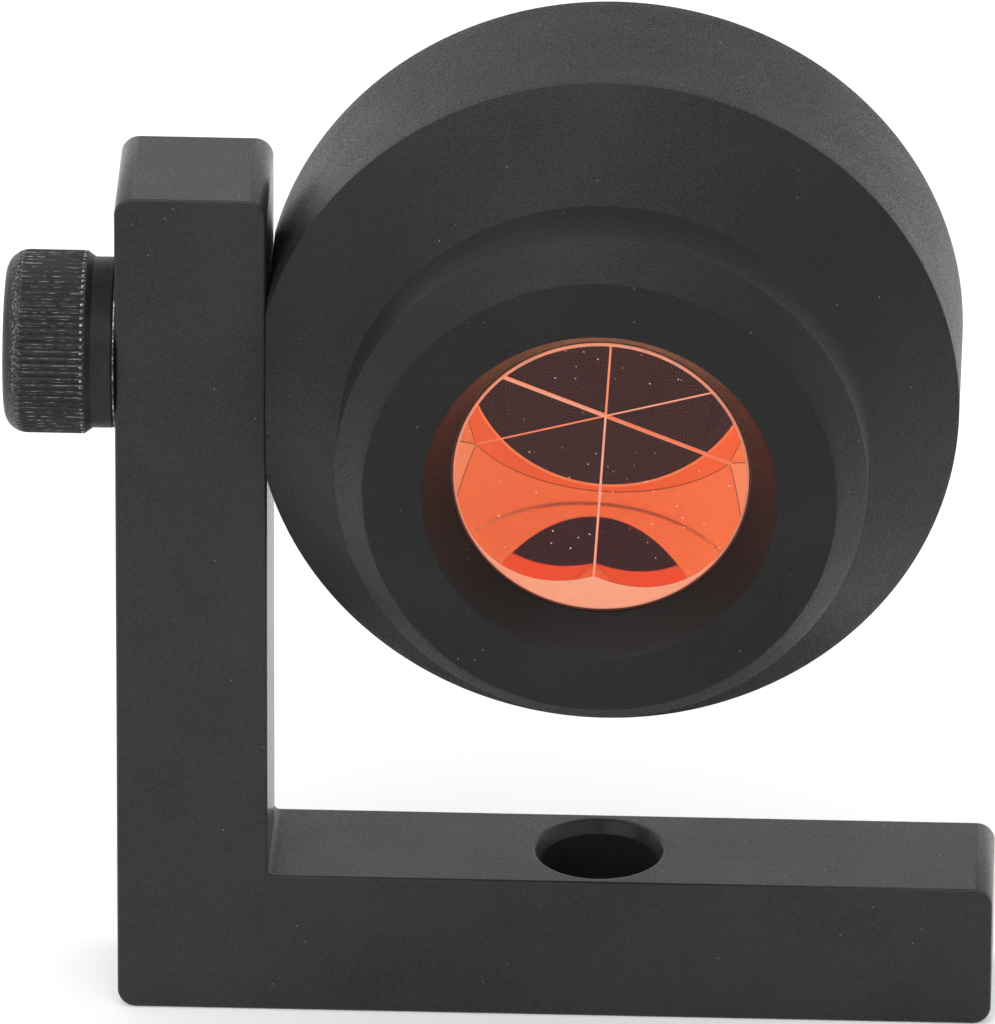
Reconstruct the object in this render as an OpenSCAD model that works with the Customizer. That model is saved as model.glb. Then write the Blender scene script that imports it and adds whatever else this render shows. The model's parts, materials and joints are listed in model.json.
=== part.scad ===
// Surveying prism on an L-shaped bar.
// A corner-cube prism sits in a round head that tilts on the upright of the bar,
// and one knurled screw clamps it. The bar bolts down through a hole in its foot.
// Millimetres, +Z up. The origin is on the mounting hole's axis, at the base.
// The prism looks along -Y, the foot runs along +X and the clamp screw stands at -X.

/* [Bar] */
// Side of the bar's square section
bar_t = 13; // [12.5:0.1:14]
// Overall length of the foot
foot_l = 75.5; // [66:0.5:90]
// Height of the tilt axis above the base
axis_h = 60.7; // [54:0.1:75]
// How far the upright rises above the tilt axis
upright_over = 16.6; // [12:0.1:25]
// Radius on the outer corners of the L
corner_r = 1.6; // [0.5:0.1:3]
// Radius in the inner corner of the L
inner_r = 0.5; // [0.2:0.1:2]

/* [Mounting hole] */
// Bore of the mounting hole
mount_d = 10.1; // [8:0.1:11]
// Hole centre from the upright's outer face
mount_inset = 41.4; // [34:0.1:50]
// Chamfer at the top of the hole
mount_lead = 0.5; // [0.2:0.1:1]

/* [Head] */
// Diameter of the drum at the back of the head
drum_d = 60; // [58:0.5:66]
// Length of the drum
drum_l = 16.7; // [16:0.1:20]
// How far the drum reaches behind the tilt axis
drum_back = 6.7; // [6.5:0.1:8]
// Depth of the flat milled on the drum beside the bar
flat_cut = 1; // [0.8:0.1:1.6]
// Length of the taper in front of the drum
taper_l = 8.3; // [6:0.1:10]
// Diameter of the nose in front of the taper
nose_d = 45; // [42:0.2:50]
// Length of the nose's straight part
nose_l = 6.4; // [5:0.1:9]
// Length of the chamfer round the nose
nose_chamfer_l = 3.6; // [1:0.1:4]
// Diameter of the flat front face
front_d = 40; // [36:0.2:41]
// Edge break on the drum
edge_break = 0.25; // [0.1:0.05:0.5]

/* [Sight recess] */
// Diameter of the recess at the front face
mouth_d = 30.1; // [28:0.1:34]
// Depth from the front face to the glass
mouth_l = 4; // [2:0.1:6]

/* [Prism] */
// Diameter of the glass
glass_d = 25; // [22:0.1:26]
// Straight rim of the glass before its facets start
skirt_l = 1.5; // [1:0.1:2.5]
// Polished bevel round the glass's front edge
glass_bevel = 0.15; // [0.1:0.05:0.5]
// Turn of the glass, clockwise from the front, away from one edge pointing straight down
glass_turn = 3.5; // [-15:0.5:15]
// Thickness of the copper coat and the lacquer over it
coat_t = 0.2; // [0.1:0.05:0.3]
// Width of the sealant between the glass and its bore
sealant_t = 0.2; // [0.15:0.05:0.4]
// Depth of the sealant along the glass
sealant_l = 1.3; // [0.8:0.1:1.4]
// Height of the rubber ring under the glass
cushion_l = 1.5; // [1:0.1:2]
// Radius of the rubber ring's hole
cushion_r = 8.5; // [7.5:0.1:9]
// Width of the shoulder's opening beyond the rubber ring's hole
cushion_step = 0.7; // [0.4:0.1:1.2]

/* [Rear cover] */
// Metal left between the threaded insert and the screwed-in rear cover
cover_wall = 2.08; // [1:0.02:3]
// Thickness of the rear cover
cover_t = 3.7; // [3:0.1:4]
// How far the cover's face lies below the drum's back
cover_sink = 0.3; // [0:0.1:0.6]
// How far the seal's circle lies inside the cover's edge
seal_inset = 2.7; // [2:0.1:3.2]
// Cord diameter of the seal
seal_d = 1.6; // [1.4:0.1:2]
// Depth of the seal's groove
groove_l = 1.3; // [1:0.05:1.35]
// Number of holes for the pin spanner
spanner_holes = 2; // [2:1:4]
// Diameter of the pin spanner's holes
spanner_d = 2.5; // [2:0.1:3]
// Depth of the pin spanner's holes
spanner_l = 1.8; // [1:0.1:2]
// How far the circle of spanner holes lies inside the cover's edge
spanner_inset = 7; // [6:0.1:9]

/* [Clamp screw] */
// Diameter over the knurl
knob_d = 15.7; // [15:0.1:18]
// Length of the screw's head with its collar
knob_l = 9.4; // [9:0.1:12]
// Radius round the head's outer end
knob_r = 2; // [1:0.1:2.5]
// Number of knurl teeth
knurl_n = 80; // [60:1:96]
// Depth of the knurl
knurl_depth = 0.3; // [0.2:0.02:0.4]
// Diameter of the plain collar
collar_d = 14.65; // [13.5:0.05:14.8]
// Length of the plain collar
collar_l = 1.8; // [1:0.1:2.5]
// Length of the slope between collar and knurl
relief_l = 0.75; // [0.4:0.05:1.2]
// Key width of the hexagon socket
key_w = 8; // [6.5:0.5:8]
// Depth of the hexagon socket
key_l = 5.5; // [5:0.1:6]
// Diameter of the shoulder that turns in the bar
shoulder_d = 10; // [9:0.1:10.4]
// How far the shoulder stops short of the bar's inner face
shoulder_short = 0.4; // [0.2:0.1:1]
// Diameter of the thread
thread_d = 8; // [6:0.5:8]
// How far the thread stops short of the insert's end
thread_short = 1; // [0.5:0.1:3]

/* [Washers and insert] */
// Thickness of the steel washer under the collar
shim_t = 0.2; // [0.15:0.05:0.4]
// Thickness of the friction washer in the drum's flat
friction_t = 1; // [0.6:0.1:1.5]
// Diameter of the friction washer
friction_d = 12; // [11:0.1:12.4]
// Outer diameter of the threaded insert
insert_d = 10; // [9.5:0.1:10.4]
// Length of the threaded insert
insert_l = 10; // [7:0.1:10.4]

/* [Clearances] */
// Gap between the bar and the drum's flat
face_gap = 0.1; // [0.06:0.02:0.3]
// Gap on each face that slides when the head tilts
run_gap = 0.02; // [0.01:0.01:0.05]
// Radial clearance of the parts that turn in a bore
fit_gap = 0.05; // [0.02:0.01:0.08]
// Radial clearance of the parts that are fixed in a bore
seat_gap = 0.02; // [0.01:0.01:0.05]
// Radial clearance of the friction washer over the thread
washer_gap = 0.2; // [0.1:0.05:0.4]

/* [Hidden] */
$fn = 96;

// Slack that carries a cut clear of the face it goes through
cut = 1;

// Bar
upright_out = -mount_inset;
upright_in = upright_out + bar_t;
upright_h = axis_h + upright_over;

// Head, measured from the tilt axis: forward is positive
flat_off = drum_d / 2 - flat_cut;
head_x = upright_in + face_gap + flat_off;
drum_front = drum_l - drum_back;
nose_root = drum_front + taper_l;
nose_end = nose_root + nose_l;
front_z = nose_end + nose_chamfer_l;
back_z = -drum_back;

// Glass: a cube corner as deep as the root of two times its radius
glass_z = front_z - mouth_l;
glass_bore_r = glass_d / 2 + sealant_t;
corner_l = glass_d / 2 * sqrt(2);
apex_z = glass_z - skirt_l - corner_l;
coat_apex_z = apex_z - coat_t * sqrt(3);
// A cube's edge lies this far from the diagonal through its corner
edge_angle = atan(sqrt(2));

// Rubber ring: its seat is the cone through the coat's three edges
seat_z = coat_apex_z + cushion_r / tan(edge_angle);
chamber_r = cushion_r + cushion_step;

// Washer and insert in the drum's side, measured outward from the head's axis
friction_out = flat_off + face_gap - run_gap;
friction_floor = friction_out - friction_t;
insert_end = friction_floor - insert_l;
thread_bore_r = thread_d / 2 + fit_gap;
thread_end = insert_end + thread_short;

// Rear cover: as wide as the insert in the drum's side allows
cover_back_z = back_z + cover_sink;
cover_seat_z = cover_back_z + cover_t;
cover_r = insert_end - cover_wall;
cover_bore_r = cover_r + seat_gap;
seal_r = cover_r - seal_inset;
spanner_r = cover_r - spanner_inset;

// Clamp screw, measured outward from the bar's outer face
shim_out = run_gap + shim_t;
shim_bore_r = shoulder_d / 2 + fit_gap;
pivot_r = shoulder_d / 2 + fit_gap;
collar_r = collar_d / 2;
knob_out_r = knob_d / 2;
knurl_z = collar_l + relief_l;
knurl_end = knob_l - knob_r;
// The head's turned ends lie a little under the knurl's roots
knob_core_r = knob_out_r - knurl_depth - seat_gap;

// Places its children in the head: Z forward along the line of sight, Y up
module in_head() {
    translate([head_x, 0, axis_h]) rotate([90, 0, 0]) children();
}

// Places its children on the tilt axis: Z outward to the left, from the given x
module on_tilt_axis(x) {
    translate([x, 0, axis_h]) rotate([0, -90, 0]) children();
}

// The corner piece between a square corner and its rounding
module corner_piece(r) {
    difference() {
        square(r);
        translate([r, r]) circle(r);
    }
}

// Side view of the bar, with rounded corners
module bar_outline() {
    foot_end = upright_out + foot_l;
    difference() {
        union() {
            translate([upright_out, 0]) square([foot_l, bar_t]);
            translate([upright_out, 0]) square([bar_t, upright_h]);
            translate([upright_in, bar_t]) corner_piece(inner_r);
        }
        translate([upright_out, 0]) corner_piece(corner_r);
        translate([foot_end, 0]) rotate(90) corner_piece(corner_r);
        translate([foot_end, bar_t]) rotate(180) corner_piece(corner_r);
        translate([upright_out, upright_h]) rotate(-90) corner_piece(corner_r);
        translate([upright_in, upright_h]) rotate(180) corner_piece(corner_r);
    }
}

// L-shaped bar with the mounting hole and the pivot hole
module l_bar() {
    color("#3b3b3b")
    difference() {
        translate([0, bar_t / 2, 0]) rotate([90, 0, 0])
            linear_extrude(bar_t) bar_outline();
        translate([0, 0, -cut]) cylinder(d = mount_d, h = bar_t + 2 * cut);
        translate([0, 0, bar_t - mount_lead])
            cylinder(r1 = mount_d / 2, r2 = mount_d / 2 + mount_lead + cut, h = mount_lead + cut);
        on_tilt_axis(upright_in + cut) cylinder(r = pivot_r, h = bar_t + 2 * cut);
    }
}

// Cross-section of a knurled cylinder: one point on each crest and in each root
module knurl_outline() {
    root_r = knob_out_r - knurl_depth;
    polygon([
        for (i = [0 : 2 * knurl_n - 1])
            let (r = i % 2 == 0 ? knob_out_r : root_r, a = 180 * i / knurl_n)
            [r * cos(a), r * sin(a)]
    ]);
}

// Half profile of the head inside its knurl: collar, slope, straight side and round end
module knob_profile() {
    end_r = knob_core_r - knob_r;
    polygon([
        [0, 0],
        [collar_r, 0],
        [collar_r, collar_l],
        [knob_core_r, knurl_z],
        [knob_core_r, knurl_end],
        [0, knurl_end],
    ]);
    translate([0, knurl_end]) square([end_r, knob_r]);
    intersection() {
        translate([end_r, knurl_end]) circle(knob_r);
        translate([end_r, knurl_end]) square(knob_r);
    }
}

// Head of the clamp screw on its bearing face, with the hexagon socket
module knob() {
    difference() {
        union() {
            rotate_extrude() knob_profile();
            translate([0, 0, knurl_z]) linear_extrude(knurl_end - knurl_z) knurl_outline();
        }
        translate([0, 0, knob_l - key_l])
            cylinder(d = key_w / cos(30), h = key_l + cut, $fn = 6);
    }
}

// Knurled clamp screw: head, the shoulder that turns in the bar, and the thread
module clamp_screw() {
    bearing_x = upright_out - shim_out;
    shoulder_x = upright_in - shoulder_short;
    tip_x = head_x - thread_end;
    color("#2b2b2c") {
        on_tilt_axis(bearing_x) knob();
        on_tilt_axis(shoulder_x) cylinder(d = shoulder_d, h = shoulder_x - bearing_x + cut);
        on_tilt_axis(tip_x) cylinder(d = thread_d, h = tip_x - shoulder_x + cut);
    }
}

// Ring with its axis on the tilt axis, from x inward to the right end
module tilt_ring(x, outer_r, inner_r, length) {
    on_tilt_axis(x + length)
    difference() {
        cylinder(r = outer_r, h = length);
        translate([0, 0, -cut]) cylinder(r = inner_r, h = length + 2 * cut);
    }
}

// Thin steel washer between the screw's collar and the bar
module thrust_washer() {
    color("#b8b8ba")
    tilt_ring(upright_out - shim_out, collar_r, shim_bore_r, shim_t);
}

// Plastic washer sunk in the drum's flat, which the bar rubs on
module friction_washer() {
    color("#e6e2d6")
    tilt_ring(head_x - friction_out, friction_d / 2, thread_d / 2 + washer_gap, friction_t);
}

// Steel insert for the screw's thread in the drum's side
module thread_insert() {
    color("#c4c4c6")
    tilt_ring(head_x - friction_floor, insert_d / 2, thread_bore_r, insert_l);
}

// Half profile of the housing, bores included
module housing_profile() {
    polygon([
        [cover_bore_r, back_z],
        [drum_d / 2 - edge_break, back_z],
        [drum_d / 2, back_z + edge_break],
        [drum_d / 2, drum_front - edge_break],
        [drum_d / 2 - edge_break, drum_front],
        [nose_d / 2, nose_root],
        [nose_d / 2, nose_end],
        [front_d / 2, front_z],
        [mouth_d / 2, front_z],
        [glass_bore_r, glass_z],
        [glass_bore_r, seat_z],
        [chamber_r, seat_z],
        [chamber_r, cover_seat_z],
        [cover_bore_r, cover_seat_z],
    ]);
}

// Turned housing with the flat, the washer's pocket and the insert's hole
module prism_housing() {
    insert_hole_l = insert_l + friction_t + cut;
    color("#353636")
    difference() {
        in_head() rotate_extrude() housing_profile();
        translate([head_x - flat_off - drum_d, -drum_d, axis_h - drum_d])
            cube([drum_d, 2 * drum_d, 2 * drum_d]);
        on_tilt_axis(head_x - friction_floor)
            cylinder(r = friction_d / 2 + seat_gap, h = friction_t + cut);
        on_tilt_axis(head_x - insert_end)
            cylinder(r = insert_d / 2 + seat_gap, h = insert_hole_l);
    }
}

// A cube's corner with its tip at the back, one edge pointing down before the glass is turned
module cube_corner(tip_z) {
    side = 2 * glass_d;
    translate([0, 0, tip_z]) rotate(90 - glass_turn) rotate([0, -edge_angle, 0])
        rotate(-45) cube(side);
}

// Corner-cube prism with a bevelled front edge
module glass_solid() {
    intersection() {
        cube_corner(apex_z);
        rotate_extrude() polygon([
            [0, apex_z - cut],
            [glass_d / 2, apex_z - cut],
            [glass_d / 2, glass_z - glass_bevel],
            [glass_d / 2 - glass_bevel, glass_z],
            [0, glass_z],
        ]);
    }
}

module prism_glass() {
    color("#e8664a", 0.6) in_head() glass_solid();
}

// Copper and lacquer on the three facets, behind the glass's straight rim
module mirror_coat() {
    color("#c8643c")
    in_head()
    difference() {
        intersection() {
            cube_corner(coat_apex_z);
            translate([0, 0, coat_apex_z - cut])
                cylinder(d = glass_d, h = glass_z - skirt_l - coat_apex_z + cut);
        }
        cube_corner(apex_z);
    }
}

// Clear sealant round the glass's rim
module glass_sealant() {
    top_z = glass_z - glass_bevel;
    color("#e9c9bd")
    in_head()
    difference() {
        translate([0, 0, top_z - sealant_l]) cylinder(r = glass_bore_r, h = sealant_l);
        translate([0, 0, top_z - sealant_l - cut]) cylinder(d = glass_d, h = sealant_l + 2 * cut);
    }
}

// Rubber ring on the housing's shoulder, which carries the glass by its edges
module cushion_ring() {
    top_r = cushion_r + cushion_l * tan(edge_angle);
    color("#1c1c1d")
    in_head() rotate_extrude() polygon([
        [cushion_r, seat_z],
        [glass_bore_r - seat_gap, seat_z],
        [glass_bore_r - seat_gap, seat_z + cushion_l],
        [top_r, seat_z + cushion_l],
    ]);
}

// Screwed-in rear cover with the seal's groove and holes for a pin spanner
module rear_cover() {
    groove_w = seal_d + 2 * seat_gap;
    color("#3a3a3b")
    in_head()
    difference() {
        translate([0, 0, cover_back_z]) cylinder(r = cover_r, h = cover_t);
        translate([0, 0, cover_seat_z - groove_l])
        difference() {
            cylinder(r = seal_r + groove_w / 2, h = groove_l + cut);
            translate([0, 0, -cut]) cylinder(r = seal_r - groove_w / 2, h = groove_l + 3 * cut);
        }
        for (i = [0 : spanner_holes - 1])
            rotate(360 * i / spanner_holes) translate([spanner_r, 0, cover_back_z - cut])
                cylinder(d = spanner_d, h = spanner_l + cut);
    }
}

// Rubber seal, pressed flat between the cover's groove and the housing's shoulder
module cover_seal() {
    color("#18181a")
    in_head() translate([0, 0, cover_seat_z - groove_l / 2])
    rotate_extrude() intersection() {
        translate([seal_r, 0]) circle(d = seal_d);
        translate([seal_r - seal_d, -groove_l / 2]) square([2 * seal_d, groove_l]);
    }
}

l_bar();
clamp_screw();
thrust_washer();
friction_washer();
thread_insert();
prism_housing();
prism_glass();
mirror_coat();
glass_sealant();
cushion_ring();
rear_cover();
cover_seal();
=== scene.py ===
"""Looks of the surveying prism on its L-shaped bar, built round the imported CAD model.

Metres, +Z up. The origin is on the mounting hole's axis at the base of the bar.
The prism looks along -Y and the bar's foot runs along +X.
A round profile is a list of (radius, height) points, or of (radius, height, rounding) corners.
"""

import json
import math

import bmesh
import bpy
from mathutils import Matrix, Vector


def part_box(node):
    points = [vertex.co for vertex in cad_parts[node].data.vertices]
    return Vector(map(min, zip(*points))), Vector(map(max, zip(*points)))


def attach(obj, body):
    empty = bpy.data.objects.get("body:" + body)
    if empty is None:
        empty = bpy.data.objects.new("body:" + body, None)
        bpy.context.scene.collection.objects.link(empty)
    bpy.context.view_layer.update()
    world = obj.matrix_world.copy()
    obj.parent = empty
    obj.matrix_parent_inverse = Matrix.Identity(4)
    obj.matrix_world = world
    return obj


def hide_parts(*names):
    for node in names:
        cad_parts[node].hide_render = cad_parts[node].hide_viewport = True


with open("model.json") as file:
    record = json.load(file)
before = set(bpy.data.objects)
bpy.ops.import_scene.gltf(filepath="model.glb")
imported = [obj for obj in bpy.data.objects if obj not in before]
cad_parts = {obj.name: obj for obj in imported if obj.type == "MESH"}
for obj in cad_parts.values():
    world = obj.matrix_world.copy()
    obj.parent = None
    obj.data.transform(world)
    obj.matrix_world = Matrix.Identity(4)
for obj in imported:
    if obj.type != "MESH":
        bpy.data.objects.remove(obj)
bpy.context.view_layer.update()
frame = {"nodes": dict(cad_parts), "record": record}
MM = 0.001

# Bar, from the frame
BAR_LOW, BAR_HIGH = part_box("l_bar")
BAR_T = BAR_HIGH.y - BAR_LOW.y
UPRIGHT_OUT = BAR_LOW.x
UPRIGHT_IN = UPRIGHT_OUT + BAR_T
MOUNT_R = next(m for m in frame["record"]["mounts"] if m["name"] == "mounting_hole")["dims"]["r_mm"] * MM
CORNER_R = 1.6 * MM
INNER_R = 0.5 * MM
BAR_EDGE_R = 0.3 * MM
MOUNT_LEAD = 0.55 * MM
MOUNT_LEAD_L = 1.2 * MM
PIVOT_GAP = 0.05 * MM

# Head, from the frame: forward is positive along the line of sight
HEAD_LOW, HEAD_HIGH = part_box("prism_housing")
DRUM_R = (HEAD_HIGH.z - HEAD_LOW.z) / 2
AXIS_H = (HEAD_HIGH.z + HEAD_LOW.z) / 2
HEAD_X = HEAD_HIGH.x - DRUM_R
FLAT_OFF = HEAD_X - HEAD_LOW.x
FRONT_Z = -HEAD_LOW.y
BACK_Z = -HEAD_HIGH.y
DRUM_FRONT = 10 * MM
NOSE_ROOT = 18.3 * MM
NOSE_END = 24.7 * MM
NOSE_R = 22.5 * MM
FRONT_R = 20 * MM
MOUTH_R = 15.05 * MM
HEAD_EDGE_R = 0.25 * MM
PROFILE_STEP = 1.2 * MM

# Hole in the head's flat for the plastic washer and the thread insert. It ends short of the head's axis
POCKET_R = 6.02 * MM
POCKET_L = 0.92 * MM
INSERT_BORE_R = 5.02 * MM
INSERT_BORE_END = 18.08 * MM

# Glass and what holds it. The glass is turned some degrees about its axis.
# Its three edges are ground to lines of these widths, with a dark seam beside them on the skirt
GLASS_LOW, GLASS_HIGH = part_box("prism_glass")
GLASS_R = (GLASS_HIGH.x - GLASS_LOW.x) / 2
GLASS_Z = -GLASS_LOW.y
APEX_Z = -GLASS_HIGH.y
GLASS_BEVEL = 0.2 * MM
GLASS_TURN = 3.5
EDGE_LINES = (0.19 * MM, 0.12 * MM, 0.29 * MM)
EDGE_SEAM = 0.07 * MM
SKIRT_L = 1.5 * MM
COAT_T = 0.2 * MM
COAT_GAP = 0.02 * MM
COAT_RIM_GAP = 0.1 * MM
BLANK_SPARE = 1 * MM
SEALANT_LOW, SEALANT_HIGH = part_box("glass_sealant")
BORE_R = (SEALANT_HIGH.x - SEALANT_LOW.x) / 2
SEALANT_L = 1.3 * MM
SEALANT_GAP = 0.005 * MM
SEAT_Z = -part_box("cushion_ring")[1].y
CHAMBER_R = 9.2 * MM

# Rear cover
COVER_LOW, COVER_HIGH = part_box("rear_cover")
COVER_R = (COVER_HIGH.x - COVER_LOW.x) / 2
COVER_BACK_Z = -COVER_HIGH.y
COVER_SEAT_Z = -COVER_LOW.y
COVER_GAP = 0.02 * MM
GROOVE_IN, GROOVE_OUT = 12.48 * MM, 14.12 * MM
GROOVE_L = 1.3 * MM
SPANNER_OFF = 9 * MM
SPANNER_D = 2.5 * MM
SPANNER_L = 1.8 * MM

# Clamp screw: outward is positive along the tilt axis, from its bearing face
SCREW_LOW, SCREW_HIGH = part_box("clamp_screw")
KNOB_L = 9.4 * MM
KNOB_CREST_R = 7.85 * MM
BEARING_X = SCREW_LOW.x + KNOB_L
KNOB_END_R = 2 * MM
KNURL_N = 80
KNURL_DEPTH = 0.2 * MM
COLLAR_R = 7.325 * MM
COLLAR_L = 1.8 * MM
RELIEF_L = 0.75 * MM
SCREW_EDGE = 0.2 * MM
KEY_W = 8 * MM
KEY_L = 5.5 * MM
KEY_LEAD = 0.25 * MM
KEY_LEAD_L = 0.6 * MM
SHOULDER_R = 5 * MM
SHOULDER_END_X = UPRIGHT_IN - 0.4 * MM
THREAD_R = 4 * MM
THREAD_LEAD = 0.8 * MM

# Camera, from the photo's own perspective. Angles in degrees
VIEW_ELEVATION = 26.293
VIEW_TURN = 2.077
VIEW_ROLL = 0.22
VIEW_DISTANCE = 1839.853 * MM
VIEW_SHIFT_RIGHT = 32.616 * MM
VIEW_SHIFT_UP = 39.907 * MM
IMAGE_W = 995
FOCAL_PX = 21202.345
SENSOR_MM = 36
CLIP_NEAR, CLIP_FAR = 0.1, 20

# Light. A region of the studio fades in between two angles, in degrees off its direction.
# The room is dimmer in front of the object than behind it
ROOM_LIGHT = 0.85
ROOM_FRONT = 0.62
FRONT_TOWARDS = (0, -1, 0.1)
FRONT_FROM, FRONT_TO = 100, 50

# The broad soft light is high in front, a little to the left
SOFT_LIGHT = 1.3
SOFT_TOWARDS = (-0.2, -0.45, 0.87)
SOFT_FROM, SOFT_TO = 52, 30

# The prism sends back the dark spot round the camera
CAMERA_DARK = 0.012
DARK_FROM, DARK_TO = 13, 9

# Floor
FLOOR_SIZE = 6
FLOOR_GAP = 0.02 * MM
FLOOR_GLOW = 0.2


def head_point(x, y, z):
    """A point in the head: x right, y up and z forward from the tilt axis, seen from the front."""
    return Vector((HEAD_X + x, -z, AXIS_H + y))


def screw_point(x, y, z):
    """A point in the screw: z outward along the tilt axis from the bearing face, x up."""
    return Vector((BEARING_X - z, y, AXIS_H + x))


def direction_in_head(x, y, z):
    """The scene's direction for one given in the head's own axes."""
    return Vector((x, -z, y))


# Mesh helpers

def new_object(name, bm, materials=(), smooth_angle=35):
    """Turns a bmesh into an object that is shaded smooth up to an angle between its faces."""
    bmesh.ops.recalc_face_normals(bm, faces=bm.faces)
    mesh = bpy.data.meshes.new(name)
    bm.to_mesh(mesh)
    bm.free()
    for material in materials:
        mesh.materials.append(material)
    mesh.shade_smooth()
    mesh.set_sharp_from_angle(angle=math.radians(smooth_angle))
    obj = bpy.data.objects.new(name, mesh)
    bpy.context.scene.collection.objects.link(obj)
    return obj


def even_normals(obj):
    """Lets the large faces of obj settle its shading."""
    weighted = obj.modifiers.new("even_normals", "WEIGHTED_NORMAL")
    weighted.keep_sharp = True
    weighted.weight = 100


def ring_of(place, radius, height, segments):
    """A ring of points round the axis, or the one point on it where the radius is nothing."""
    if radius < 1e-7:
        return [place(0, 0, height)]
    angles = [2 * math.pi * i / segments for i in range(segments)]
    return [place(radius * math.cos(a), radius * math.sin(a), height) for a in angles]


def skin(bm, rings, materials=None):
    """Joins rings of points with quads. A ring of one point is a pole."""
    rows = [[bm.verts.new(p) for p in ring] for ring in rings]
    for k, (a, b) in enumerate(zip(rows, rows[1:])):
        count = max(len(a), len(b))
        if count == 1:
            continue
        for i in range(count):
            j = (i + 1) % count
            if len(a) == 1:
                corners = [a[0], b[i], b[j]]
            elif len(b) == 1:
                corners = [a[i], b[0], a[j]]
            else:
                corners = [a[i], b[i], b[j], a[j]]
            face = bm.faces.new(corners)
            if materials:
                face.material_index = materials[k]
    return rows


def rounded(corners, steps=4):
    """The points of a closed profile, from its (radius, height, rounding) corners."""
    points = [Vector(corner[:2]) for corner in corners]
    out = []
    for i, here in enumerate(points):
        rounding = corners[i][2]
        if rounding <= 0:
            out.append(here)
            continue
        to_last = (points[i - 1] - here).normalized()
        to_next = (points[(i + 1) % len(points)] - here).normalized()
        half = to_last.angle(to_next) / 2
        reach = rounding / math.tan(half)
        middle = here + (to_last + to_next).normalized() * rounding / math.sin(half)
        start = here + to_last * reach - middle
        end = here + to_next * reach - middle
        sweep = start.angle_signed(end)
        for k in range(steps + 1):
            turn = -sweep * k / steps
            c, s = math.cos(turn), math.sin(turn)
            out.append(middle + Vector((start.x * c - start.y * s, start.x * s + start.y * c)))
    return out


def spaced(profile, step):
    """The same closed profile, with points added so that none lie further apart than step."""
    out = []
    for a, b in zip(profile, [*profile[1:], profile[0]]):
        count = max(1, math.ceil((b - a).length / step))
        out += [a.lerp(b, k / count) for k in range(count)]
    return out


def turned(name, profile, materials=(), place=head_point, segments=288):
    """A closed turned solid from its round profile."""
    bm = bmesh.new()
    skin(bm, [ring_of(place, r, h, segments) for r, h in [*profile, profile[0]]])
    bmesh.ops.remove_doubles(bm, verts=bm.verts, dist=1e-7)
    return new_object(name, bm, materials)


def prism_between(name, rings, materials=()):
    """A solid from two rings of points that are its ends."""
    bm = bmesh.new()
    for end in skin(bm, rings):
        bm.faces.new(end)
    return new_object(name, bm, materials)


def drill(start, end, radius, segments=96):
    """A plain cylinder to cut a hole with."""
    axis = (end - start).normalized()
    side = axis.orthogonal().normalized()
    other = axis.cross(side)

    def about(centre):
        return lambda x, y, _: centre + side * x + other * y

    return prism_between("cutter", [ring_of(about(centre), radius, 0, segments) for centre in (start, end)])


def apply_modifiers(obj):
    """Makes the modifiers' result the object's own mesh."""
    bpy.context.view_layer.update()
    evaluated = obj.evaluated_get(bpy.context.evaluated_depsgraph_get())
    mesh = bpy.data.meshes.new_from_object(evaluated)
    obj.modifiers.clear()
    obj.data = mesh


def shade(obj, smooth_angle=35):
    """Shades obj smooth up to an angle.

    Faces square to an axis stay flat, and the faces beside them blend into them.
    """
    square = 0.999995
    blend_cosine = math.cos(math.radians(35))
    mesh = obj.data
    mesh.shade_smooth()
    mesh.set_sharp_from_angle(angle=math.radians(smooth_angle))
    flats = {}
    for face in mesh.polygons:
        if max(abs(part) for part in face.normal) > square:
            for vertex in face.vertices:
                flats.setdefault(vertex, []).append(face.normal.copy())
    normals = []
    for face in mesh.polygons:
        for corner in face.loop_indices:
            beside = flats.get(mesh.loops[corner].vertex_index, [])
            beside = [flat for flat in beside if flat.dot(face.normal) > blend_cosine]
            own = mesh.corner_normals[corner].vector.copy()
            normals.append(max(beside, key=face.normal.dot) if beside else own)
    mesh.normals_split_custom_set(normals)


def cut_away(obj, *cutters):
    """Subtracts the cutters from obj for good. The walls of a cut take their shading from its cutter."""
    for cutter in cutters:
        even_normals(cutter)
        boolean = obj.modifiers.new("cut", "BOOLEAN")
        boolean.operation = "DIFFERENCE"
        boolean.solver = "EXACT"
        boolean.object = cutter
    apply_modifiers(obj)
    for cutter in cutters:
        bpy.data.objects.remove(cutter)


def break_edges(obj, radius, steps=3, angle=40):
    """Rounds the edges of obj that are sharper than an angle, for good."""
    bevel = obj.modifiers.new("edge_break", "BEVEL")
    bevel.width = radius
    bevel.segments = steps
    bevel.limit_method = "ANGLE"
    bevel.angle_limit = math.radians(angle)
    bevel.use_clamp_overlap = False
    apply_modifiers(obj)


# Materials

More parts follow.
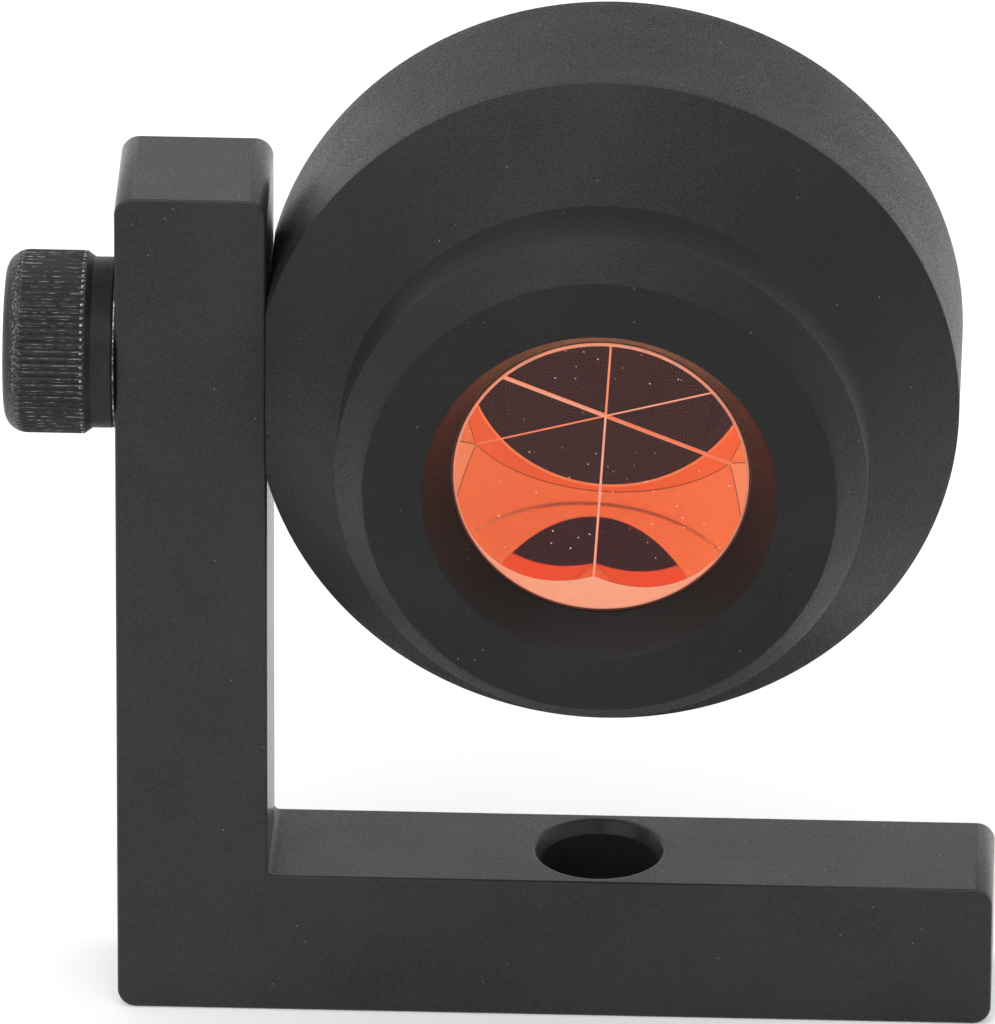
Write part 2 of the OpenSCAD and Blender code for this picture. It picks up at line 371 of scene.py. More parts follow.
class Nodes:
    """Shorthand for building one material's nodes."""

    def __init__(self, name):
        self.material = bpy.data.materials.new(name)
        self.material.use_nodes = True
        self.tree = self.material.node_tree
        self.shader = self.tree.nodes["Principled BSDF"]
        self.place = self.add("ShaderNodeTexCoord").outputs["Object"]

    def add(self, kind, **settings):
        node = self.tree.nodes.new(kind)
        for key, value in settings.items():
            setattr(node, key, value)
        return node

    def link(self, source, target):
        self.tree.links.new(source, target)

    def noise(self, size, detail=3, roughness=0.5, vector=None):
        """Noise whose features are about size metres across."""
        node = self.add("ShaderNodeTexNoise")
        node.inputs["Scale"].default_value = 1 / size
        node.inputs["Detail"].default_value = detail
        node.inputs["Roughness"].default_value = roughness
        self.link(vector or self.place, node.inputs["Vector"])
        return node.outputs["Fac"]

    def cells(self, size):
        """Random points about size apart: the distance to the nearest one, and a random colour for each."""
        node = self.add("ShaderNodeTexVoronoi")
        node.inputs["Scale"].default_value = 1 / size
        self.link(self.place, node.inputs["Vector"])
        return node.outputs

    def scaled(self, scale):
        """The object's own coordinates, stretched."""
        node = self.add("ShaderNodeMapping")
        node.inputs["Scale"].default_value = scale
        self.link(self.place, node.inputs["Vector"])
        return node.outputs["Vector"]

    def math(self, operation, a, b=0.0, c=0.0):
        """One sum, of numbers or sockets."""
        node = self.add("ShaderNodeMath", operation=operation)
        for socket, value in zip(node.inputs, (a, b, c)):
            if isinstance(value, (int, float)):
                socket.default_value = value
            else:
                self.link(value, socket)
        return node.outputs[0]

    def span(self, value, low, high, to_low=0.0, to_high=1.0):
        """Maps a span of value to another span, clamped."""
        node = self.add("ShaderNodeMapRange")
        for key, number in zip(("From Min", "From Max", "To Min", "To Max"), (low, high, to_low, to_high)):
            node.inputs[key].default_value = number
        self.link(value, node.inputs["Value"])
        return node.outputs["Result"]

    def blend(self, amount, low, high):
        """Mixes two colours, each a colour or a socket."""
        node = self.add("ShaderNodeMix", data_type="RGBA")
        self.link(amount, node.inputs["Factor"])
        for socket, value in ((node.inputs[6], low), (node.inputs[7], high)):
            if isinstance(value, tuple):
                socket.default_value = (*value, 1)
            else:
                self.link(value, socket)
        return node.outputs[2]

    def bump(self, height, distance, strength=1.0):
        node = self.add("ShaderNodeBump")
        node.inputs["Distance"].default_value = distance
        node.inputs["Strength"].default_value = strength
        self.link(height, node.inputs["Height"])
        return node.outputs["Normal"]

    def split(self, vector):
        """The X, Y and Z of a vector."""
        node = self.add("ShaderNodeSeparateXYZ")
        self.link(vector, node.inputs[0])
        return node.outputs["X"], node.outputs["Y"], node.outputs["Z"]

    def offset(self, point):
        """The object's own coordinates, measured from a point."""
        node = self.add("ShaderNodeVectorMath", operation="SUBTRACT")
        node.inputs[1].default_value = point
        self.link(self.place, node.inputs[0])
        return node.outputs[0]

    def band(self, value, middle, inner, outer, strength=1.0):
        """Full strength within inner of the middle, fading to nothing at outer."""
        off_middle = self.math("ABSOLUTE", self.math("SUBTRACT", value, middle))
        return self.span(off_middle, inner, outer, strength, 0.0)

    def finish(self, colour=None, roughness=None, normal=None, **constants):
        """Links colour, roughness and normal to the shader, and sets its other sockets by name."""
        for socket, value in (("Base Color", colour), ("Roughness", roughness), ("Normal", normal)):
            if value is not None:
                self.link(value, self.shader.inputs[socket])
        for key, value in constants.items():
            self.shader.inputs[key.replace("_", " ")].default_value = value
        return self.material


def dust(nodes, size, reach, share):
    """A mask of tiny specks of radius reach, in about a share of the cells, which are about size apart."""
    outputs = nodes.cells(size)
    near = nodes.span(outputs["Distance"], 0.6 * reach / size, reach / size, 1.0, 0.0)
    lot = nodes.add("ShaderNodeSeparateColor")
    nodes.link(outputs["Color"], lot.inputs[0])
    picked = nodes.math("LESS_THAN", lot.outputs[0], share)
    return nodes.math("MULTIPLY", near, picked)


def anodised(name, dark, light, rough, shine, gloss):
    """Bead-blasted black anodised aluminium: fine grain, slow colour drift and a few dust specks.

    Its colour lies between dark and light. Shine is the reflection of the anodised layer itself.
    Gloss is how much of a thin clear seal lies over it.
    """
    n = Nodes(name)
    drift = n.noise(14 * MM, 2)
    grain = n.noise(0.14 * MM, 2, 0.6)
    base = n.blend(n.span(drift, 0.35, 0.65), dark, light)
    grained = n.blend(n.span(grain, 0.45, 0.80, 0, 0.35), base, (0.055, 0.055, 0.057))
    dusty = n.blend(dust(n, 0.7 * MM, 0.07 * MM, 0.05), grained, (0.22, 0.22, 0.23))
    blast = n.bump(n.noise(0.19 * MM, 2, 0.6), 0.045 * MM, 1.0)
    smudges = n.span(n.noise(5 * MM, 3), 0.3, 0.7, -0.03, 0.03)
    pits = n.span(grain, 0.35, 0.65, 0.16, -0.16)
    uneven = n.math("ADD", n.math("ADD", smudges, pits), rough)
    return n.finish(
        dusty, uneven, blast, IOR=1.5, Specular_IOR_Level=shine,
        Coat_Weight=gloss, Coat_Roughness=0.25, Coat_IOR=1.22,
    )


def black_steel():
    """Black oxide steel, worn at its knurl's inner tips and on its brow, with painted highlights in fine
    dashes along the knurl's shoulders.
    """
    n = Nodes("black_steel")
    # x falls outwards from the inner end of the knurl's full height, and below is the depth under its crests
    x, y, z = n.split(n.offset((BEARING_X - COLLAR_L - RELIEF_L, 0, AXIS_H)))
    radius = n.math("SQRT", n.math("ADD", n.math("POWER", y, 2), n.math("POWER", z, 2)))
    below = n.math("SUBTRACT", KNOB_CREST_R, radius)
    # The fine bright dashes along the shoulders are painted highlights; the inner tips and the brow are wear
    shoulders = n.band(below, 0.08 * MM, 0.012 * MM, 0.035 * MM)
    dashes = n.span(n.noise(0.09 * MM, 2, 0.6, n.scaled((0.12, 1, 1))), 0.50, 0.60)
    patches = n.span(n.noise(1.5 * MM, 2, 0.6), 0.40, 0.56, 0.06, 0.55)
    shoulder_highlights = n.math("MULTIPLY", shoulders, n.math("MULTIPLY", dashes, patches))
    crest = n.span(below, 0.02 * MM, 0.06 * MM, 1.0, 0.0)
    tips = n.band(x, -0.10 * MM, 0.05 * MM, 0.13 * MM)
    broken = n.span(n.noise(0.6 * MM, 3, 0.7), 0.42, 0.56)
    worn_tips = n.math("MULTIPLY", crest, n.math("MULTIPLY", tips, broken))
    brow = n.band(x, -5.8 * MM, 0.1 * MM, 0.55 * MM, 0.3)
    scuffs = n.math("MULTIPLY", brow, n.span(n.noise(0.2 * MM, 3, 0.7), 0.50, 0.62))
    wear_and_highlights = n.math("MAXIMUM", shoulder_highlights, n.math("MAXIMUM", worn_tips, scuffs))
    oxide = n.blend(n.span(n.noise(1.2 * MM, 3), 0.3, 0.7), (0.007, 0.007, 0.0073), (0.015, 0.015, 0.0155))
    colour = n.blend(wear_and_highlights, oxide, (0.55, 0.55, 0.56))
    rough = n.span(n.noise(0.5 * MM, 3), 0.3, 0.7, 0.40, 0.52)
    normal = n.bump(n.noise(0.2 * MM, 3), 0.03 * MM, 1.0)
    return n.finish(colour, rough, normal, IOR=1.5, Specular_IOR_Level=0.27)


def washer_steel():
    """Darkened steel, with a painted highlight in broken lengths round the middle of its edge."""
    n = Nodes("washer_steel")
    low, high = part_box("thrust_washer")
    x, _, _ = n.split(n.place)
    # Painted highlight: a bright band round the middle of the edge, broken in lengths by noise
    ridge = n.band(x, (low.x + high.x) / 2, 0.02 * MM, 0.06 * MM)
    highlight_line = n.math("MULTIPLY", ridge, n.span(n.noise(0.6 * MM, 4, 0.75), 0.47, 0.62))
    colour = n.blend(highlight_line, (0.03, 0.03, 0.031), (0.6, 0.6, 0.61))
    rough = n.span(n.noise(0.3 * MM, 3), 0.3, 0.7, 0.35, 0.5)
    return n.finish(colour, rough, n.bump(highlight_line, 0.004 * MM, 0.5), Metallic=1.0)


def plain_steel():
    """Turned steel, with streaks along the tilt axis."""
    n = Nodes("plain_steel")
    streak = n.noise(0.12 * MM, 3, 0.6, n.scaled((0.1, 1, 1)))
    colour = n.blend(streak, (0.50, 0.50, 0.51), (0.66, 0.66, 0.67))
    rough = n.span(streak, 0.3, 0.7, 0.24, 0.38)
    return n.finish(colour, rough, n.bump(streak, 0.006 * MM, 0.6), Metallic=1.0)


def acetal():
    """Off-white turned plastic."""
    n = Nodes("acetal")
    marks = n.noise(0.3 * MM, 3)
    colour = n.blend(marks, (0.74, 0.72, 0.64), (0.82, 0.80, 0.73))
    rough = n.span(marks, 0.3, 0.7, 0.38, 0.5)
    return n.finish(colour, rough, n.bump(marks, 0.01 * MM, 0.4), IOR=1.48)


def rubber(name):
    """Moulded black rubber."""
    n = Nodes(name)
    marks = n.noise(0.25 * MM, 3)
    colour = n.blend(marks, (0.016, 0.016, 0.017), (0.030, 0.030, 0.031))
    rough = n.span(marks, 0.3, 0.7, 0.55, 0.72)
    return n.finish(colour, rough, n.bump(marks, 0.01 * MM, 0.5), IOR=1.5)


def polished_glass():
    """The prism's front face: clear, with a few dust specks."""
    n = Nodes("polished_glass")
    specks = dust(n, 1.0 * MM, 0.075 * MM, 0.8)
    colour = n.blend(specks, (1.0, 1.0, 1.0), (0.9, 0.8, 0.78))
    clear = n.span(specks, 0, 1, 1.0, 0.0)
    n.link(clear, n.shader.inputs["Transmission Weight"])
    return n.finish(colour, n.span(specks, 0, 1, 0.0, 0.6), None, IOR=1.52, Specular_Tint=(0.5, 0.5, 0.58, 1))


def ground_bevel():
    """The frosted bevel round the front face: copper light comes out through it, with whitish chips."""
    n = Nodes("ground_bevel")
    chips = n.span(n.noise(0.7 * MM, 3, 0.7), 0.58, 0.66)
    colour = n.blend(chips, (1.0, 0.88, 0.88), (0.97, 0.90, 0.90))
    n.link(n.span(chips, 0, 1, 0.72, 0.15), n.shader.inputs["Transmission Weight"])
    return n.finish(colour, n.span(n.noise(0.3 * MM, 2), 0.3, 0.7, 0.45, 0.7), None, IOR=1.52)


def copper_mirror():
    """Copper seen through the glass, polished flat."""
    n = Nodes("copper_mirror")
    tone = n.noise(6 * MM, 2)
    colour = n.blend(tone, (0.97, 0.63, 0.43), (0.98, 0.65, 0.445))
    rough = n.span(tone, 0.3, 0.7, 0.004, 0.012)
    return n.finish(colour, rough, None, Metallic=1.0)


def ground_glass(name, low, high, size, seam=0.0):
    """Ground glass seen from inside, between two pale colours. A dark seam may run along the facets."""
    n = Nodes(name)
    streak = n.noise(size, 4, 0.65)
    colour = n.blend(n.span(streak, 0.35, 0.65), low, high)
    if seam > 0:
        from_tip = n.offset(head_point(0, 0, APEX_Z))
        nearest = 1.0
        for direction in edge_directions():
            off_facet = n.add("ShaderNodeVectorMath", operation="DOT_PRODUCT")
            n.link(from_tip, off_facet.inputs[0])
            off_facet.inputs[1].default_value = direction_in_head(*direction)
            nearest = n.math("MINIMUM", off_facet.outputs["Value"], nearest)
        colour = n.blend(n.span(nearest, 0.6 * seam, seam, 0.75, 0.0), colour, (0.10, 0.03, 0.025))
    return n.finish(colour, n.span(streak, 0.3, 0.7, 0.6, 0.8), None, IOR=1.4)


def lacquer():
    """Red-brown lacquer on the back of the copper."""
    n = Nodes("lacquer")
    runs = n.noise(1.5 * MM, 3)
    colour = n.blend(runs, (0.16, 0.055, 0.035), (0.26, 0.09, 0.055))
    rough = n.span(runs, 0.3, 0.7, 0.25, 0.4)
    return n.finish(colour, rough, n.bump(runs, 0.03 * MM, 0.5), IOR=1.5)


def silicone():
    """Clear silicone. Its dark red-brown colour is painted light: the copper light seen through the clear
    bead, and painted shade of the narrow gap it sits in.
    """
    n = Nodes("silicone")
    wave = n.noise(0.9 * MM, 3)
    # Painted light: copper light seen through the clear bead, darkened as painted shade of the gap
    colour = n.blend(wave, (0.16, 0.06, 0.045), (0.30, 0.12, 0.09))
    rough = n.span(wave, 0.3, 0.7, 0.25, 0.4)
    return n.finish(colour, rough, n.bump(wave, 0.03 * MM, 0.5), IOR=1.41)


BAR_FINISH = anodised(
    "anodised_bar", (0.010, 0.010, 0.0103), (0.017, 0.017, 0.0174), rough=0.52, shine=0.25, gloss=0.8,
)
HEAD_FINISH = anodised(
    "anodised_head", (0.007, 0.007, 0.0073), (0.012, 0.012, 0.0124), rough=0.42, shine=0.19, gloss=0.0,
)


# Pieces

def arc(centre, radius, start, end, steps):
    """Points on an arc, in degrees from the first axis."""
    out = []
    for k in range(steps + 1):
        a = math.radians(start + (end - start) * k / steps)
        out.append(Vector((centre[0] + radius * math.cos(a), centre[1] + radius * math.sin(a))))
    return out


def bar_outline(steps=10):
    """Side view of the bar as (x, z) points, anticlockwise from the lower outer corner."""
    left, right = UPRIGHT_OUT, BAR_HIGH.x
    top = BAR_HIGH.z
    c = CORNER_R
    return [
        *arc((left + c, c), c, 180, 270, steps),
        *arc((right - c, c), c, 270, 360, steps),
        *arc((right - c, BAR_T - c), c, 0, 90, steps),
        *arc((UPRIGHT_IN + INNER_R, BAR_T + INNER_R), INNER_R, 270, 180, steps),
        *arc((UPRIGHT_IN - c, top - c), c, 0, 90, steps),
        *arc((left + c, top - c), c, 90, 180, steps),
    ]


def build_bar():
    """The L-shaped bar, with its mounting hole and the hole for the screw's shoulder."""
    outline = bar_outline()
    sides = [[Vector((p.x, y, p.y)) for p in outline] for y in (-BAR_T / 2, BAR_T / 2)]
    bar = prism_between("bar_body", sides, [BAR_FINISH])
    break_edges(bar, BAR_EDGE_R)
    mouth = MOUNT_R + MOUNT_LEAD
    bore_profile = rounded([
        (MOUNT_R, -BAR_T, 0),
        (MOUNT_R, BAR_T - MOUNT_LEAD_L, 0.3 * MM),
        (mouth, BAR_T, 0.4 * MM),
        (2 * mouth, BAR_T, 0),
        (2 * mouth, 2 * BAR_T, 0),
        (0, 2 * BAR_T, 0),
        (0, -BAR_T, 0),
    ])
    bore = turned("cutter", bore_profile, place=lambda x, y, h: Vector((x, y, h)), segments=128)
    pivot_start = Vector((UPRIGHT_OUT - BAR_T, 0, AXIS_H))
    pivot_end = Vector((UPRIGHT_IN + BAR_T / 2, 0, AXIS_H))
    cut_away(bar, bore, drill(pivot_start, pivot_end, SHOULDER_R + PIVOT_GAP))
    shade(bar, 30)
    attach(bar, "bar")
    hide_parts("l_bar")


def build_head():
    """The turned housing, with the flat on its side and the hole in it."""
    profile = rounded([
        (COVER_R + COVER_GAP, BACK_Z, 0.15 * MM),
        (DRUM_R, BACK_Z, HEAD_EDGE_R),
        (DRUM_R, DRUM_FRONT, HEAD_EDGE_R),
        (NOSE_R, NOSE_ROOT, 0.12 * MM),
        (NOSE_R, NOSE_END, 0.2 * MM),
        (FRONT_R, FRONT_Z, 0.2 * MM),
        (MOUTH_R, FRONT_Z, 0.12 * MM),
        (BORE_R, GLASS_Z, 0.03 * MM),
        (BORE_R, SEAT_Z, 0),
        (CHAMBER_R, SEAT_Z, 0),
        (CHAMBER_R, COVER_SEAT_Z, 0),
        (COVER_R + COVER_GAP, COVER_SEAT_Z, 0),
    ])
    head = turned("head_shell", spaced(profile, PROFILE_STEP), [HEAD_FINISH], segments=360)
    side = 2 * DRUM_R
    beside = bmesh.new()
    bmesh.ops.create_cube(
        beside, size=side, matrix=Matrix.Translation((HEAD_X - FLAT_OFF - side / 2, 0, AXIS_H))
    )
    outside = head_point(-FLAT_OFF - BAR_T, 0, 0)
    pocket = drill(outside, head_point(-FLAT_OFF + POCKET_L, 0, 0), POCKET_R)
    bore = drill(outside, head_point(-INSERT_BORE_END, 0, 0), INSERT_BORE_R)
    cut_away(head, new_object("cutter", beside), pocket, bore)
    shade(head)
    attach(head, "head")
    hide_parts("prism_housing")


def knurl_radius(angle):
    """Radius of the knurled cylinder at an angle: rounded crests and narrow roots."""
    wave = 0.5 + 0.5 * math.cos(KNURL_N * angle)
    return KNOB_CREST_R - KNURL_DEPTH * (1 - wave ** 0.75)


def hexagon_radius(angle):
    """Radius of the hexagon socket's wall at an angle."""
    sector = math.pi / 3
    return KEY_W / 2 / math.cos((angle % sector) - sector / 2)


def build_screw():
    """The clamp screw, as rings from its inner tip outwards and back into the hexagon socket."""
    segments = KNURL_N * 9
    angles = [2 * math.pi * i / segments for i in range(segments)]

    def ring(z, radius):
        return [screw_point(radius(a) * math.cos(a), radius(a) * math.sin(a), z) for a in angles]

    def round_ring(z, r):
        return ring(z, lambda a: r)

    def knurled_ring(z, limit):
        return ring(z, lambda a: min(limit, knurl_radius(a)))

    shoulder_z = BEARING_X - SHOULDER_END_X
    tip_z = BEARING_X - SCREW_HIGH.x
    slope_top = COLLAR_L + RELIEF_L
    round_start = KNOB_L - KNOB_END_R
    edge_middle = SCREW_EDGE * 0.3
    rings = [[screw_point(0, 0, tip_z)]]
    rings += [round_ring(z, r) for z, r in (
        (tip_z, THREAD_R - THREAD_LEAD),
        (tip_z + THREAD_LEAD, THREAD_R),
        (shoulder_z, THREAD_R),
        (shoulder_z, SHOULDER_R - SCREW_EDGE),
        (shoulder_z + SCREW_EDGE, SHOULDER_R),
        (0, SHOULDER_R),
        (0, COLLAR_R - SCREW_EDGE),
        (edge_middle, COLLAR_R - edge_middle),
        (SCREW_EDGE, COLLAR_R),
        (COLLAR_L, COLLAR_R),
    )]
    slope_steps = 8
    for k in range(1, slope_steps + 1):
        share = k / slope_steps
        limit = COLLAR_R + (KNOB_CREST_R - COLLAR_R) * share
        rings.append(knurled_ring(COLLAR_L + RELIEF_L * share, limit))
    straight_steps = 12
    for k in range(1, straight_steps + 1):
        rings.append(knurled_ring(slope_top + (round_start - slope_top) * k / straight_steps, KNOB_CREST_R))
    round_steps = 18
    for k in range(1, round_steps + 1):
        a = math.pi / 2 * k / round_steps
        limit = KNOB_CREST_R - KNOB_END_R * (1 - math.cos(a))
        rings.append(knurled_ring(round_start + KNOB_END_R * math.sin(a), limit))
    corner_r = KEY_W / 2 / math.cos(math.pi / 6)
    lead_r = corner_r * 0.93
    socket_floor = KNOB_L - KEY_L
    dish = 0.1 * MM
    dish_share = 0.88
    rings.append(round_ring(KNOB_L, corner_r + KEY_LEAD))
    rings.append(ring(KNOB_L - KEY_LEAD, lambda a: max(hexagon_radius(a), lead_r)))
    rings.append(ring(KNOB_L - KEY_LEAD_L, hexagon_radius))
    rings.append(ring(socket_floor + KEY_LEAD_L, hexagon_radius))
    rings.append(ring(socket_floor + dish, lambda a: hexagon_radius(a) * dish_share))
    rings.append([screw_point(0, 0, socket_floor)])
    bm = bmesh.new()
    skin(bm, rings)
    screw = new_object("screw_body", bm, [black_steel()], 50)
    even_normals(screw)
    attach(screw, "screw")
    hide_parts("clamp_screw")


def edge_directions():
    """Directions of the glass's three edges from its tip, in the head's frame."""
    out = []
    steep = math.atan(math.sqrt(2))
    for k in range(3):
        a = math.radians(270 - GLASS_TURN + 120 * k)
        out.append(Vector((math.sin(steep) * math.cos(a), math.sin(steep) * math.sin(a), math.cos(steep))))
    return out


def cut_convex(bm, point, outward, material):
    """Cuts a convex solid along a plane, drops what lies outward and closes it with one face."""
    geometry = [*bm.verts, *bm.edges, *bm.faces]
    made = bmesh.ops.bisect_plane(bm, geom=geometry, plane_co=point, plane_no=outward, clear_outer=True)
    rim = [e for e in made["geom_cut"] if isinstance(e, bmesh.types.BMEdge)]
    for face in bmesh.ops.contextual_create(bm, geom=rim)["faces"]:
        face.material_index = material


def corner_solid(tip_z, blank, chamfers=(), chamfer_material=0, segments=288):
    """A turned blank, from (radius, height, material) points, cut to a cube's corner with its tip at tip_z.

    The three facets get material 0. Chamfers are the widths of the facets along the three edges.
    """
    bm = bmesh.new()
    skin(bm, [ring_of(head_point, r, z, segments) for r, z, _ in blank], [m for _, _, m in blank])
    tip = head_point(0, 0, tip_z)
    directions = edge_directions()
    for direction in directions:
        cut_convex(bm, tip, direction_in_head(*(-direction)), 0)
    for k, width in enumerate(chamfers):
        outward = -(directions[k - 1] + directions[k - 2]).normalized()
        point = tip + direction_in_head(*(-outward)) * width / 2
        cut_convex(bm, point, direction_in_head(*outward), chamfer_material)
    return bm


def build_prism():
    """The glass. Its facets are the copper seen from inside, and its edges are ground lines."""
    _, skirt, bevel, front, line = range(5)
    base = APEX_Z - BLANK_SPARE
    bm = corner_solid(APEX_Z, [
        (0, base, skirt),
        (GLASS_R, base, skirt),
        (GLASS_R, GLASS_Z - GLASS_BEVEL, bevel),
        (GLASS_R - GLASS_BEVEL, GLASS_Z, front),
        (0, GLASS_Z, front),
    ], EDGE_LINES, line, 720)
    materials = [
        copper_mirror(),
        ground_glass("ground_skirt", (0.94, 0.83, 0.76), (0.97, 0.91, 0.86), 0.9 * MM, EDGE_SEAM),
        ground_bevel(),
        polished_glass(),
        # The edge lines' salmon colour is painted copper light falling on the frosted lines
        ground_glass("ground_edge_painted_copper_light", (0.92, 0.54, 0.42), (0.98, 0.62, 0.50), 0.6 * MM),
    ]
    prism = new_object("corner_prism", bm, materials, 20)
    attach(prism, "head")
    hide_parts("prism_glass")


def plain_corner(depth, radius, top):
    """A corner solid whose facets lie a depth behind the glass's own, up to a plain round top."""
    tip_z = APEX_Z - depth * math.sqrt(3)
    base = tip_z - BLANK_SPARE
    return corner_solid(tip_z, [(0, base, 0), (radius, base, 0), (radius, top, 0), (0, top, 0)])


def build_coat():
    """The lacquered back of the copper: a hollow corner just clear of the glass."""
    rim_z = GLASS_Z - SKIRT_L - COAT_RIM_GAP
    radius = GLASS_R - COAT_GAP
    smooth_angle = 30
    coat = new_object("prism_backing", plain_corner(COAT_T, radius, rim_z), [lacquer()], smooth_angle)
    # The hollow reaches well past the coat's side and its rim
    hollow = plain_corner(COAT_GAP, 2 * radius, rim_z + 9 * MM)
    cut_away(coat, new_object("cutter", hollow))
    coat.data.set_sharp_from_angle(angle=math.radians(smooth_angle))
    even_normals(coat)
    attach(coat, "head")
    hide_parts("mirror_coat")


def build_sealant():
    """The bead round the glass, with a hollow along its top."""
    top = GLASS_Z - GLASS_BEVEL
    bottom = top - SEALANT_L
    inner, outer = GLASS_R + SEALANT_GAP, BORE_R - SEALANT_GAP
    middle = (inner + outer) / 2
    profile = [
        (inner, bottom),
        (outer, bottom),
        (outer, top - 0.05 * MM),
        (middle + 0.03 * MM, top - 0.22 * MM),
        (middle - 0.04 * MM, top - 0.23 * MM),
        (inner, top - 0.10 * MM),
    ]
    bead = turned("sealant_bead", profile, [silicone()])
    even_normals(bead)
    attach(bead, "head")
    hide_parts("glass_sealant")


def build_cover():
    """The rear cover, with its seal's groove and two holes for a pin spanner."""
    groove_z = COVER_SEAT_Z - GROOVE_L
    profile = rounded([
        (0, COVER_BACK_Z, 0),
        (COVER_R, COVER_BACK_Z, 0.3 * MM),
        (COVER_R, COVER_SEAT_Z, 0.1 * MM),
        (GROOVE_OUT, COVER_SEAT_Z, 0),
        (GROOVE_OUT, groove_z, 0),
        (GROOVE_IN, groove_z, 0),
        (GROOVE_IN, COVER_SEAT_Z, 0),
        (0, COVER_SEAT_Z, 0),
    ])
    cover = turned("back_cover", profile, [HEAD_FINISH])
    holes = []
    outside = COVER_BACK_Z - 2 * MM
    for side in (-SPANNER_OFF, SPANNER_OFF):
        end = head_point(side, 0, COVER_BACK_Z + SPANNER_L)
        holes.append(drill(head_point(side, 0, outside), end, SPANNER_D / 2, 48))
    cut_away(cover, *holes)
    shade(cover)
    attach(cover, "head")
    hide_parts("rear_cover")


def dress_nodes():
    """Gives a finish to the small CAD pieces whose own shapes are shown."""
    finishes = {
        "thrust_washer": washer_steel(),
        "thread_insert": plain_steel(),
        "friction_washer": acetal(),
        "cushion_ring": rubber("cushion_rubber"),
        "cover_seal": rubber("seal_rubber"),
    }
    for name, material in finishes.items():
        mesh = frame["nodes"][name].data
        mesh.materials.clear()
        mesh.materials.append(material)


# Stage

def build_floor():
    """A pale floor that reads as white, with the object's shadow on it."""
    bm = bmesh.new()
    bmesh.ops.create_grid(bm, x_segments=1, y_segments=1, size=FLOOR_SIZE)
    n = Nodes("pale_floor")
    colour = n.blend(n.noise(0.4, 2), (0.79, 0.79, 0.79), (0.81, 0.81, 0.81))
    rays = n.add("ShaderNodeLightPath").outputs
    shiny = n.math("MAXIMUM", rays["Is Glossy Ray"], rays["Is Transmission Ray"])
    seen = n.math("MAXIMUM", rays["Is Camera Ray"], shiny)
    n.link(n.math("MULTIPLY", seen, FLOOR_GLOW), n.shader.inputs["Emission Strength"])
    white = n.finish(colour, None, None, Roughness=0.9, Specular_IOR_Level=0.0, Emission_Color=(1, 1, 1, 1))
    floor = new_object("floor", bm, [white])
    floor.location.z = BAR_LOW.z - FLOOR_GAP


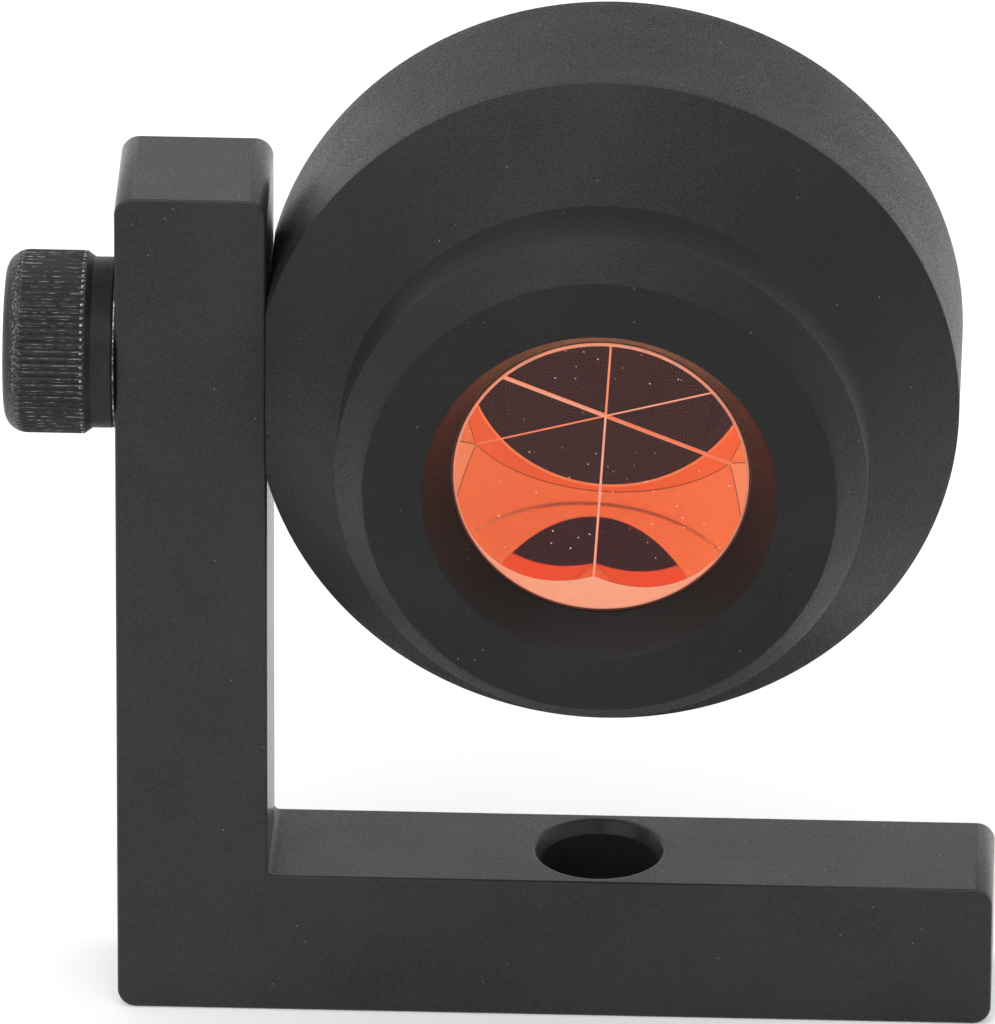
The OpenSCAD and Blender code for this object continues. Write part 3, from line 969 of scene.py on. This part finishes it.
def build_world():
    """A studio that is plain white to the camera.

    It lights the object as a room with a broad soft light and a dark spot round the camera.
    Reflections and glass see white, brighter at the soft light and dark at the spot.
    """
    world = bpy.data.worlds.new("studio")
    bpy.context.scene.world = world
    world.use_nodes = True
    tree = world.node_tree
    tree.nodes.clear()
    place = tree.nodes.new("ShaderNodeTexCoord").outputs["Generated"]

    def region(towards, wide, narrow, low, high):
        """A smooth span from low to high as a direction comes from wide to narrow degrees off."""
        dot = tree.nodes.new("ShaderNodeVectorMath")
        dot.operation = "DOT_PRODUCT"
        dot.inputs[1].default_value = Vector(towards).normalized()
        tree.links.new(place, dot.inputs[0])
        span = tree.nodes.new("ShaderNodeMapRange")
        span.interpolation_type = "SMOOTHSTEP"
        limits = (math.cos(math.radians(wide)), math.cos(math.radians(narrow)), low, high)
        for key, value in zip(("From Min", "From Max", "To Min", "To Max"), limits):
            span.inputs[key].default_value = value
        tree.links.new(dot.outputs["Value"], span.inputs["Value"])
        return span.outputs["Result"]

    def combine(operation, a, b):
        node = tree.nodes.new("ShaderNodeMath")
        node.operation = operation
        tree.links.new(a, node.inputs[0])
        tree.links.new(b, node.inputs[1])
        return node.outputs[0]

    up = math.radians(VIEW_ELEVATION)
    camera_side = (0, -math.cos(up), math.sin(up))
    room = region(FRONT_TOWARDS, FRONT_FROM, FRONT_TO, ROOM_LIGHT, ROOM_FRONT)
    soft = region(SOFT_TOWARDS, SOFT_FROM, SOFT_TO, 0.0, SOFT_LIGHT)
    dark = region(camera_side, DARK_FROM, DARK_TO, 1.0, CAMERA_DARK)
    rays = tree.nodes.new("ShaderNodeLightPath").outputs
    studio = tree.nodes.new("ShaderNodeBackground")
    tree.links.new(combine("MULTIPLY", combine("ADD", room, soft), dark), studio.inputs["Strength"])
    backdrop = combine("MULTIPLY", region(SOFT_TOWARDS, SOFT_FROM, SOFT_TO, 1.0, 1.0 + SOFT_LIGHT), dark)
    white = tree.nodes.new("ShaderNodeBackground")
    tree.links.new(combine("MAXIMUM", backdrop, rays["Is Camera Ray"]), white.inputs["Strength"])
    for node in (studio, white):
        node.inputs["Color"].default_value = (1, 1, 1, 1)
    shiny = combine("MAXIMUM", rays["Is Glossy Ray"], rays["Is Transmission Ray"])
    mix = tree.nodes.new("ShaderNodeMixShader")
    tree.links.new(combine("MAXIMUM", rays["Is Camera Ray"], shiny), mix.inputs[0])
    tree.links.new(studio.outputs[0], mix.inputs[1])
    tree.links.new(white.outputs[0], mix.inputs[2])
    output = tree.nodes.new("ShaderNodeOutputWorld")
    tree.links.new(mix.outputs[0], output.inputs["Surface"])


def build_camera():
    """The photo's camera. Its place is measured from the bar's outer side at the base."""
    rise_angle, turn, roll = (math.radians(x) for x in (VIEW_ELEVATION, VIEW_TURN, VIEW_ROLL))
    flat = math.cos(rise_angle)
    back = Vector((math.sin(turn) * flat, -math.cos(turn) * flat, math.sin(rise_angle)))
    level = Vector((math.cos(turn), math.sin(turn), 0))
    rise = back.cross(level)
    right = level * math.cos(roll) + rise * math.sin(roll)
    up = rise * math.cos(roll) - level * math.sin(roll)
    data = bpy.data.cameras.new("camera")
    data.sensor_fit = "HORIZONTAL"
    data.sensor_width = SENSOR_MM
    data.lens = FOCAL_PX / IMAGE_W * SENSOR_MM
    data.clip_start = CLIP_NEAR
    data.clip_end = CLIP_FAR
    camera = bpy.data.objects.new("camera", data)
    bpy.context.scene.collection.objects.link(camera)
    where = right * VIEW_SHIFT_RIGHT + up * VIEW_SHIFT_UP + back * VIEW_DISTANCE
    where.x += UPRIGHT_OUT
    axes = Matrix((right, up, back)).transposed()
    camera.matrix_world = Matrix.Translation(where) @ axes.to_4x4()
    bpy.context.scene.camera = camera


bpy.context.scene.view_settings.view_transform = "Standard"

# Light crosses the glass many times before it comes out, and its images there stay sharp
cycles = bpy.context.scene.cycles
cycles.blur_glossy = 0
cycles.max_bounces = 32
cycles.glossy_bounces = 24
cycles.transmission_bounces = 24
cycles.diffuse_bounces = 12

build_bar()
build_head()
build_screw()
build_prism()
build_coat()
build_sealant()
build_cover()
dress_nodes()
build_floor()
build_world()
build_camera()
